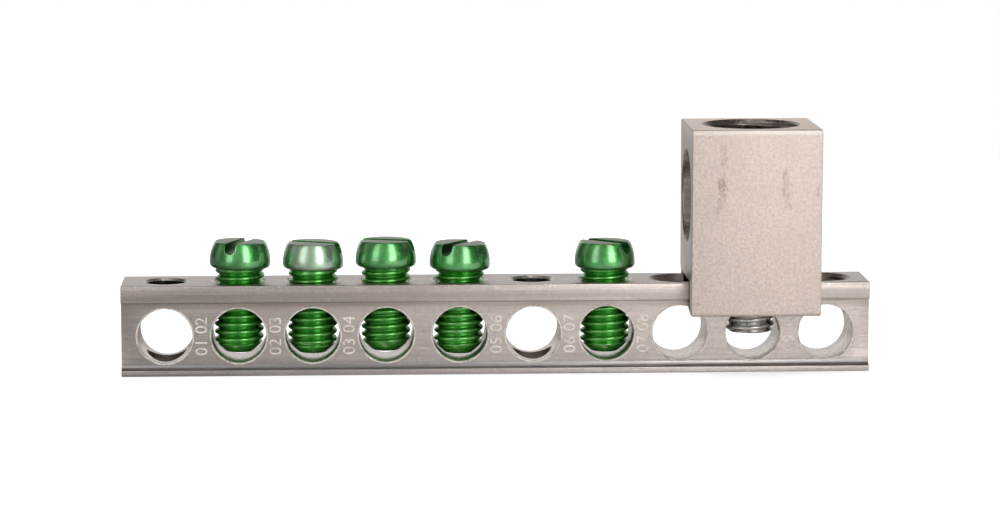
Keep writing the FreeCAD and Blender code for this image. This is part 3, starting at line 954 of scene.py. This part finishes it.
class EARTHBAR_OT_terminal_screws(bpy.types.Operator):
    """Build the five slotted terminal screws"""
    bl_idname = "earth_bar.terminal_screws"
    bl_label = "Build terminal screws"

    SLOT_ANGLES = (69.0, -20.0, -15.0, 58.0, 138.0)
    # How far each one leans towards +X in its hole, in degrees.
    LEANS = (1.2, 0.8, 0.2, 1.1, 0.1)
    # Height at which a leaning screw's axis crosses its hole's.
    PIVOT = 6.5 * MM
    # How much of each head has lost its dye.
    WEAR = (0.12, 0.8, 0.2, 0.15, 0.2)
    # Heights of the rounded head's foot and of its widest part over its nominal underside.
    FOOT, WIDEST = 0.075 * MM, 0.7 * MM
    # The points end this much short, so that a leaning screw still clears its wire hole's floor.
    SHORT = 0.06 * MM

    def execute(self, context):
        sizes = context.scene.earth_bar_screws
        finish = context.scene.earth_bar_finish
        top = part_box("terminal_bar")[1].z / MM
        neck = (top + 1.1, top + 1.6)
        # The slot walls take the green darkened to 0.3, with little gloss, as painted shade in the slot.
        painted_shade = green_zinc_plate(shade(finish.green, 0.3), finish.green, 0.1, 9, neck, 0.1)
        for number, (node, slot) in enumerate(zip(TERMINAL_SCREWS, self.SLOT_ANGLES)):
            material = green_zinc_plate(finish.green, finish.worn, self.WEAR[number], number, neck)
            screw = self.screw(sizes, node, math.radians(slot), number, (material, painted_shade))
            pivot = Matrix.Translation((node_middle(node).x, 0, self.PIVOT))
            lean = Matrix.Rotation(math.radians(self.LEANS[number]), 4, "Y")
            screw.data.transform(pivot @ lean @ pivot.inverted())
            dress(screw, node)
        return {"FINISHED"}

    def screw(self, sizes, node, slot, number, materials):
        """One screw, from its CAD node's box and the angle of its slot."""
        low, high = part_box(node)
        middle = node_middle(node)
        centre = (middle.x, middle.y)
        base = high.z - sizes.head_height
        crest = sizes.thread / 2
        root = crest - sizes.thread_depth
        wide, barrel = sizes.head / 2, sizes.barrel
        upper, lower = sizes.upper_corner, sizes.lower_corner
        foot, widest = base + self.FOOT, base + self.WIDEST
        # Where the barrel's curve runs smoothly into the upper corner.
        meet = math.asin((high.z - upper - widest) / (barrel - upper))
        upper_centre = (wide - barrel + (barrel - upper) * math.cos(meet), high.z - upper)
        # The profile starts inside the shank, so that the two join.
        profile = [(root - 0.05 * MM, base - 0.4 * MM), (root + 0.2 * MM, base - 0.1 * MM)]
        profile += arc((wide - lower, foot + lower), lower, -math.pi / 2, 0, 6)
        profile += arc((wide - barrel, widest), barrel, 0, meet, 8)
        profile += arc(upper_centre, upper, meet, math.pi / 2, 4)[1:]
        head = turned(node + "_metal", profile, (*centre, 0))
        head.data.materials.append(materials[0])
        # The slot's walls take the second material, the painted shade.
        cut(head, slot_cutter("slot", sizes.slot_width, sizes.slot_depth, 9 * MM, high.z, centre, slot),
            materials[1])
        # The edges of the slot and of the head's top.
        break_edges(head, sizes.edge, lambda p: p.z > high.z - sizes.slot_depth - 0.3 * MM)
        shank = threaded_rod("shank", crest, root, sizes.thread_pitch, low.z + self.SHORT,
                             base + 0.1 * MM, centre, (sizes.tip / 2, sizes.taper, sizes.fullness),
                             run_out=0.5 * sizes.thread_pitch, phase=0.23 * number)
        combine(head, shank, "UNION")
        soften(head, 40.0)
        return head


class EARTHBAR_OT_lug(bpy.types.Operator):
    """Build the lug with its lip, conductor bore and threaded top hole"""
    bl_idname = "earth_bar.lug"
    bl_label = "Build lug"

    def execute(self, context):
        sizes = context.scene.earth_bar_lug
        finish = context.scene.earth_bar_finish
        low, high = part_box("lug_body")
        x = node_middle("lug_body").x
        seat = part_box("terminal_bar")[1].z
        lug = swept_along_x("lug_metal", self.section(sizes, low, high, seat), low.x, high.x,
                            sizes.sawn_edge)
        lug.data.materials.append(etched_aluminium(finish.lug, finish.lug_stain, x / MM, high.z / MM))
        surface(lug, sawn_aluminium(finish.sawn), lambda side: abs(side.normal.x) > 0.99)
        walls = drilled_aluminium(finish.bored)
        self.conductor_bore(lug, sizes, x, (high.x - low.x) / 2, walls)
        self.top_hole(lug, sizes, x, high.z, tapped_aluminium_in_painted_shade(finish.bored), walls)
        self.screw_well(lug, sizes, x, seat, walls)
        soften(lug, 30.0)
        dress(lug, "lug_body")
        return {"FINISHED"}

    def section(self, sizes, low, high, seat):
        """The lug's outline from the side: a block on the bar, with a lip over the bar's front."""
        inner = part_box("terminal_bar")[0].y - sizes.lip_gap
        corner, chamfer = sizes.corner, sizes.back_chamfer
        return rounded_outline([
            (low.y, high.z, corner), (high.y, high.z, corner), (high.y, seat + chamfer, 0.15 * MM),
            (high.y - chamfer, seat, 0.15 * MM), (inner, seat, 0.1 * MM), (inner, low.z, 0.12 * MM),
            (low.y, low.z, sizes.toe)])

    def conductor_bore(self, lug, sizes, x, half, walls):
        """Cut the bore through the lug's width, with a break on both rims."""
        radius, edge = sizes.bore / 2, sizes.bore_edge
        bore = [(radius + edge + PAST, -half - PAST), (radius + edge * 0.4, -half + edge * 0.6),
                (radius, -half + edge * 1.5), (radius, half - edge * 1.5),
                (radius + edge * 0.4, half - edge * 0.6), (radius + edge + PAST, half + PAST)]
        cut(lug, turned("bore", bore, (x, 0, sizes.bore_height), "X", 128), walls)

    def top_hole(self, lug, sizes, x, top, threads, walls):
        """Cut the threaded hole from the top down into the bore."""
        radius, mouth = sizes.top_hole / 2, sizes.top_mouth
        cut(lug, threaded_rod("thread", radius + sizes.top_thread, radius, sizes.pressure_pitch,
                              sizes.bore_height, top + 0.5 * MM, (x, 0), sides=96), threads)
        cone = [(radius - PAST, top - mouth - PAST), (radius + mouth + PAST, top + PAST)]
        cut(lug, turned("mouth", cone, (x, 0, 0)), walls)

    def screw_well(self, lug, sizes, x, seat, walls):
        """Cut the fixing screw's hole and the well for its head in the bore's floor."""
        low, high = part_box("lug_fixing_screw")
        wide, head = (high.x - low.x) / 2, high.z
        well, hole = sizes.head_well / 2, sizes.floor_hole / 2
        cone = [(hole, seat - PAST), (hole, head - (wide - hole) / math.tan(sizes.countersink)),
                (wide, head), (well, head + 0.01 * MM), (well, sizes.bore_height)]
        cut(lug, turned("well", cone, (x, 0, 0)), walls)


class EARTHBAR_OT_lug_screws(bpy.types.Operator):
    """Build the lug's pressure screw and its fixing screw"""
    bl_idname = "earth_bar.lug_screws"
    bl_label = "Build lug screws"

    def execute(self, context):
        sizes = context.scene.earth_bar_lug
        finish = context.scene.earth_bar_finish
        self.pressure_screw(sizes, turned_aluminium(finish.machined))
        self.fixing_screw(sizes, context.scene.earth_bar_screws, clear_zinc_plate(finish.zinc))
        return {"FINISHED"}

    def pressure_screw(self, sizes, material):
        """The socket set screw that clamps the conductor."""
        low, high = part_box("lug_pressure_screw")
        middle = node_middle("lug_pressure_screw")
        radius, chamfer = (high.x - low.x) / 2, sizes.pressure_tip
        screw = threaded_rod("lug_pressure_screw_metal", radius, radius - sizes.pressure_thread,
                             sizes.pressure_pitch, low.z, high.z, (middle.x, middle.y),
                             (radius - chamfer, chamfer, 1), sides=96)
        across = sizes.socket / math.sqrt(3)
        cut(screw, turned("socket", [(across, high.z - sizes.socket_depth), (across, high.z + PAST)],
                          (middle.x, middle.y, 0), sides=6, turn=0))
        cut(screw, turned("mouth", [(across * 0.8, high.z - 0.3 * MM - across * 0.12),
                                    (across * 1.2, high.z + 0.1 * MM + across * 0.12)],
                          (middle.x, middle.y, 0)))
        outer = [(radius + PAST, high.z - 1.5 * MM), (radius + PAST, high.z + PAST),
                 (radius - 1.5 * MM, high.z + PAST), (radius + 0.5 * MM, high.z - 1 * MM)]
        cut(screw, ring("top_chamfer", outer, (middle.x, middle.y)))
        soften(screw, 32.0)
        dress(screw, "lug_pressure_screw", material)

    def fixing_screw(self, sizes, screws, material):
        """The flat head screw that holds the lug to the bar."""
        low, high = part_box("lug_fixing_screw")
        middle = node_middle("lug_fixing_screw")
        centre = (middle.x, middle.y)
        crest, wide = screws.thread / 2, (high.x - low.x) / 2
        cone = (wide - crest) / math.tan(sizes.countersink)
        head = turned("lug_fixing_screw_metal", [(crest - 0.3 * MM, high.z - cone - 0.5 * MM),
                      (crest, high.z - cone), (wide - 0.1 * MM, high.z - 0.1 * MM),
                      (wide - 0.05 * MM, high.z - 0.02 * MM), (wide - 0.15 * MM, high.z)],
                      (*centre, 0))
        cut(head, slot_cutter("slot", sizes.fixing_slot, sizes.fixing_slot_depth, 10 * MM, high.z,
                              centre, 0.0))
        shank = threaded_rod("shank", crest, crest - screws.thread_depth, screws.thread_pitch, low.z,
                             high.z - cone - 0.1 * MM, centre,
                             (sizes.fixing_tip / 2, sizes.fixing_taper, 1))
        combine(head, shank, "UNION")
        soften(head, 35.0)
        dress(head, "lug_fixing_screw", material)


WHITE = (1.0, 1.0, 1.0)
SHELL_RADIUS = 0.7
RAMP_TOP = 5.0
# Radiance that reflections see at each bearing; 0 is towards the camera and 90 is +X.
LIGHT_ROUND = ((-180, 0.88), (-150, 0.88), (-138, 0.1), (-112, 0.1), (-98, 0.5), (-87, 0.5),
               (-78, 0.15), (-58, 0.25), (-49, 2.2), (-34, 2.2), (-26, 0.45), (8, 0.5), (16, 4.2),
               (33, 4.2), (42, 0.3), (50, 0.12), (82, 0.12), (90, 0.4), (98, 0.4), (108, 0.1),
               (138, 0.1), (150, 0.88), (180, 0.88))
# Share of it at each height, as the sine of the elevation.
LIGHT_UP = ((0.0, 1.0), (0.35, 1.0), (0.6, 0.85), (0.85, 0.55), (1.0, 0.45))


class StageSettings(bpy.types.PropertyGroup):
    """The camera and the studio."""
    camera_place: bpy.props.FloatVectorProperty(
        name="Camera place", description="Where the camera stands", size=3,
        default=(-0.017285, -0.373145, 0.064583), unit="LENGTH", subtype="XYZ", precision=5)
    camera_tilt: angle_setting("Camera tilt", "Downward tilt of the camera", 8.08)
    camera_turn: angle_setting("Camera turn", "Turn of the camera towards +X", 2.73)
    camera_lens: bpy.props.FloatProperty(name="Camera lens", description="Focal length in millimetres",
                                         default=125.0, min=1.0)
    background: bpy.props.FloatProperty(name="Background", description="Strength of the white "
                                        "background that the camera and reflections see", default=1.0)
    fill: bpy.props.FloatProperty(name="Fill", description="Strength of the world as a lamp",
                                  default=0.6, min=0.0)


class EARTHBAR_OT_stage(bpy.types.Operator):
    """Set the camera, lamps, floor and background"""
    bl_idname = "earth_bar.stage"
    bl_label = "Set stage"

    def execute(self, context):
        scene = context.scene
        stage = scene.earth_bar_stage
        scene.view_settings.view_transform = "Standard"
        self.camera(scene, stage)
        self.world(scene, stage)
        self.floor(scene)
        self.shell()
        self.floor_card()
        self.lamp("overhead", place=(0.0, 0.05, 0.55), aim=(0.0, 0.0, 0.0), size=(0.7, 0.5), power=1.5)
        return {"FINISHED"}

    def camera(self, scene, stage):
        """The camera, level but for its tilt."""
        data = bpy.data.cameras.new("camera")
        data.lens = stage.camera_lens
        data.sensor_width = 36.0
        data.clip_start, data.clip_end = 0.01, 20.0
        camera = linked("camera", data)
        camera.location = stage.camera_place
        camera.rotation_euler = (math.pi / 2 - stage.camera_tilt, 0.0, -stage.camera_turn)
        scene.camera = camera

    def world(self, scene, stage):
        """White for the camera and for reflections, a softer fill for everything else."""
        world = bpy.data.worlds.new("studio")
        scene.world = world
        world.use_nodes = True
        tree = world.node_tree
        tree.nodes.clear()
        strength = add_node(tree, "MapRange", {
            "Value": self.seen(tree), "To Min": stage.fill, "To Max": stage.background})
        light = add_node(tree, "Background", (WHITE, strength))
        add_node(tree, "OutputWorld", (light,))

    def seen(self, tree):
        """1 for camera, glossy and transmission rays, 0 for the rest."""
        path = add_node(tree, "LightPath").outputs
        either = add_node(tree, "Math", (path["Is Glossy Ray"], path["Is Transmission Ray"]),
                          operation="MAXIMUM")
        return add_node(tree, "Math", (path["Is Camera Ray"], either), operation="MAXIMUM")

    def floor(self, scene):
        """A pale matt floor that keeps the shadow near the object and fades into the background."""
        floor = self.sheet("floor", 2.0, 0.02 * MM)
        material, tree = empty_material("matt_floor_paint")
        place = add_node(tree, "TexCoord").outputs["Object"]
        distance = add_node(tree, "VectorMath", (place,), operation="LENGTH")
        far = add_node(tree, "MapRange", (distance, 0.09, 0.24), **SMOOTH)
        paint = add_node(tree, "BsdfDiffuse", (scene.earth_bar_finish.floor,))
        glow = add_node(tree, "Emission", (WHITE, 0.45))
        both = add_node(tree, "AddShader", (paint, glow))
        white = add_node(tree, "Emission", (WHITE, 1.0))
        near = add_node(tree, "MixShader", (far, both, white))
        shown = add_node(tree, "MixShader", (self.seen(tree), paint, near))
        add_node(tree, "OutputMaterial", (shown,))
        floor.data.materials.append(material)

    def shell(self):
        """The studio as reflections see it: soft strips of light between grey and dark flags."""
        shape = bmesh.new()
        bmesh.ops.create_uvsphere(shape, u_segments=64, v_segments=32, radius=SHELL_RADIUS)
        mesh = bpy.data.meshes.new("shell")
        shape.to_mesh(mesh)
        shape.free()
        shell = linked("shell", mesh)
        material, tree = empty_material("shell")
        place = add_node(tree, "TexCoord").outputs["Object"]
        axes = add_node(tree, "SeparateXYZ", (place,)).outputs
        towards = add_node(tree, "Math", (axes["Y"], -1.0), operation="MULTIPLY")
        bearing = add_node(tree, "Math", (axes["X"], towards), operation="ARCTAN2")
        share = add_node(tree, "Math", (bearing, 0.5 / math.pi, 0.5), operation="MULTIPLY_ADD")
        around = self.ramp(tree, share, [(0.5 + b / 360, r) for b, r in LIGHT_ROUND])
        height = add_node(tree, "Math", (axes["Z"], SHELL_RADIUS), operation="DIVIDE")
        self.glow(tree, around, self.ramp(tree, height, LIGHT_UP))
        self.card(shell, material)

    def floor_card(self):
        """What reflections see of the floor, as a glowing card: a painted shadow near the bar, and
        darker towards its far end.
        """
        card = self.sheet("floor_card", SHELL_RADIUS, 0.01 * MM)
        material, tree = empty_material("floor_card")
        place = add_node(tree, "TexCoord").outputs["Object"]
        axes = add_node(tree, "SeparateXYZ", (place,)).outputs
        along = add_node(tree, "MapRange", (axes["X"], -0.055, 0.03, 0.4, 0.98), **SMOOTH)
        near = add_node(tree, "MapRange", (axes["Y"], -0.05, -0.004, 1.0, 0.6), **SMOOTH)
        self.glow(tree, along, near)
        self.card(card, material)

    def sheet(self, name, reach, below):
        """A level square that reaches as far each way, a little below the object."""
        corners = [(-reach, -reach, 0), (reach, -reach, 0), (reach, reach, 0), (-reach, reach, 0)]
        sheet = mesh_object(name, corners, [(0, 1, 2, 3)])
        sheet.location.z = CAD_BOX[0].z - below
        return sheet

    def ramp(self, tree, value, stops):
        """A grey ramp over 0 to 1, with radiances up to RAMP_TOP."""
        node = add_node(tree, "ValToRGB", (value,))
        elements = node.color_ramp.elements
        for index, (share, radiance) in enumerate(stops):
            stop = elements[index] if index < 2 else elements.new(share)
            stop.position = share
            stop.color = (*([radiance / RAMP_TOP] * 3), 1.0)
        return add_node(tree, "Math", (node, RAMP_TOP), operation="MULTIPLY")

    def glow(self, tree, first, second):
        """White light whose strength is the product of two values."""
        strength = add_node(tree, "Math", (first, second), operation="MULTIPLY")
        light = add_node(tree, "Emission", (WHITE, strength))
        add_node(tree, "OutputMaterial", (light,))

    def card(self, obj, material):
        """Keep a card for reflections alone."""
        obj.data.materials.append(material)
        obj.visible_camera = False
        obj.visible_diffuse = False
        obj.visible_shadow = False
        obj.visible_transmission = False

    def lamp(self, name, place, aim, size, power):
        """A rectangular soft lamp at place, facing aim."""
        data = bpy.data.lights.new(name, "AREA")
        data.shape = "RECTANGLE"
        data.size, data.size_y = size
        data.energy = power
        lamp = linked(name, data)
        lamp.location = place
        lamp.rotation_euler = (Vector(aim) - Vector(place)).to_track_quat("-Z", "Y").to_euler()
        lamp.visible_glossy = False


class EARTHBAR_PT_build(bpy.types.Panel):
    """Build steps in the 3D view's sidebar"""
    bl_idname = "EARTHBAR_PT_build"
    bl_label = "Earth Bar"
    bl_space_type = "VIEW_3D"
    bl_region_type = "UI"
    bl_category = "Earth Bar"

    def draw(self, context):
        for operator in BUILD_STEPS:
            self.layout.operator(operator.bl_idname)
        for name, group in SETTINGS.items():
            box = self.layout.box()
            for setting in group.__annotations__:
                box.prop(getattr(context.scene, name), setting)


BUILD_STEPS = (EARTHBAR_OT_terminal_bar, EARTHBAR_OT_terminal_screws, EARTHBAR_OT_lug,
               EARTHBAR_OT_lug_screws, EARTHBAR_OT_stage)
SETTINGS = {"earth_bar": BarSettings, "earth_bar_screws": ScrewSettings,
            "earth_bar_lug": LugSettings, "earth_bar_finish": FinishSettings,
            "earth_bar_stage": StageSettings}


def register():
    """Register the classes and hang the settings on the scene."""
    for cls in (*SETTINGS.values(), *BUILD_STEPS, EARTHBAR_PT_build):
        bpy.utils.register_class(cls)
    for name, group in SETTINGS.items():
        setattr(bpy.types.Scene, name, bpy.props.PointerProperty(type=group))


def unregister():
    """Take the settings and the classes away again."""
    for name in SETTINGS:
        delattr(bpy.types.Scene, name)
    for cls in (EARTHBAR_PT_build, *BUILD_STEPS, *SETTINGS.values()):
        bpy.utils.unregister_class(cls)


def main():
    """Build every piece and the stage."""
    register()
    bpy.ops.earth_bar.terminal_bar()
    bpy.ops.earth_bar.terminal_screws()
    bpy.ops.earth_bar.lug()
    bpy.ops.earth_bar.lug_screws()
    bpy.ops.earth_bar.stage()


if __name__ == "__main__":
    main()
